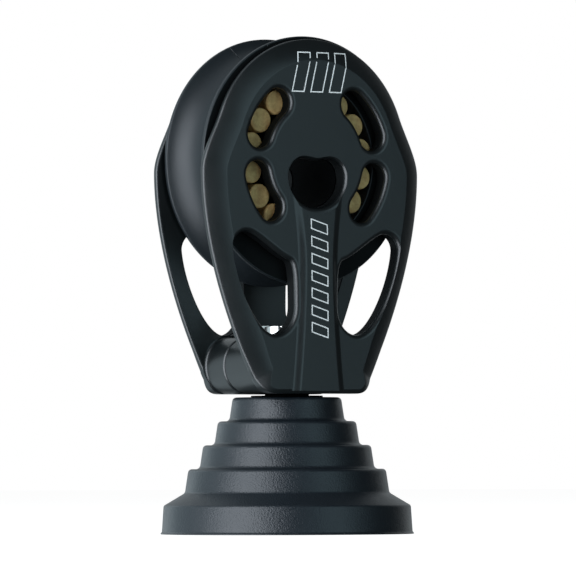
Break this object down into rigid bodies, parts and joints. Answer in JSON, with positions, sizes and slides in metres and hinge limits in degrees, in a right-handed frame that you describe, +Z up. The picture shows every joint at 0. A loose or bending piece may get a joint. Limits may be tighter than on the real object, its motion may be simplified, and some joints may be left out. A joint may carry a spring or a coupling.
{
  "type": "stand-up block",
  "caption": "Stand-up deck block: roller-bearing sheave between two slotted cheeks, on a stepped rubber boot that lets it tilt and swivel.",
  "frame": {"origin": "centre of the base's underside, on the deck", "axes": "+Z up from the deck; the sheave turns about the Y direction; the front cheek faces -Y; +X to the right seen from the front"},
  "size_m": [0.0474, 0.0462, 0.0898],
  "materials": {
    "black_alloy": "black anodised, satin",
    "hub_alloy": "black anodised, satin",
    "sheave_plastic": "black moulded plastic, satin",
    "roller_plastic": "golden brown bearing plastic, matt",
    "rubber": "black moulded rubber with a fine grain",
    "stainless": "polished stainless steel",
    "black_steel": "blackened steel"
  },
  "bodies": {
    "base": {"base_plate": "stainless", "boot": "rubber", "fore_pin": "stainless", "fore_pin_clip": "stainless"},
    "toggle_link": {"toggle": "stainless", "side_pin": "stainless", "side_pin_clip": "stainless"},
    "post": {"swivel_post": "black_steel", "swivel_nut": "stainless"},
    "head": {"front_cheek": "black_alloy", "rear_cheek": "black_alloy", "hub": "hub_alloy", "hub_screw_left": "black_steel", "hub_screw_right": "black_steel", "foot_screw_left": "black_steel", "foot_screw_right": "black_steel"},
    "sheave_wheel": {"sheave": "sheave_plastic"},
    "roller_ring": {"roller_01": "roller_plastic", "roller_02": "roller_plastic", "roller_03": "roller_plastic", "roller_04": "roller_plastic", "roller_05": "roller_plastic", "roller_06": "roller_plastic", "roller_07": "roller_plastic", "roller_08": "roller_plastic", "roller_09": "roller_plastic", "roller_10": "roller_plastic", "roller_11": "roller_plastic", "roller_12": "roller_plastic", "roller_13": "roller_plastic", "roller_14": "roller_plastic", "roller_15": "roller_plastic", "roller_16": "roller_plastic"}
  },
  "joints": [
    {"name": "fore_tilt", "type": "hinge", "parent": "base", "child": "toggle_link", "pos_m": [0, 0, 0.007], "axis": [1, 0, 0], "range_deg": [-25, 25], "stiffness_Nm_per_rad": 0.5, "deforming": ["boot"]},
    {"name": "side_tilt", "type": "hinge", "parent": "toggle_link", "child": "post", "pos_m": [0, 0, 0.013], "axis": [0, 1, 0], "range_deg": [-25, 25], "stiffness_Nm_per_rad": 0.5, "deforming": ["boot"]},
    {"name": "swivel", "type": "hinge", "parent": "post", "child": "head", "pos_m": [0, 0, 0.0253], "axis": [0, 0, 1], "continuous": true},
    {"name": "sheave_spin", "type": "hinge", "parent": "head", "child": "sheave_wheel", "pos_m": [0, 0, 0.0673], "axis": [0, 1, 0], "continuous": true},
    {"name": "roller_travel", "type": "hinge", "parent": "head", "child": "roller_ring", "pos_m": [0, 0, 0.0673], "axis": [0, 1, 0], "continuous": true}
  ],
  "couplings": [
    {"joint": "roller_travel", "follows": "sheave_spin", "ratio": 0.5898}
  ]
}
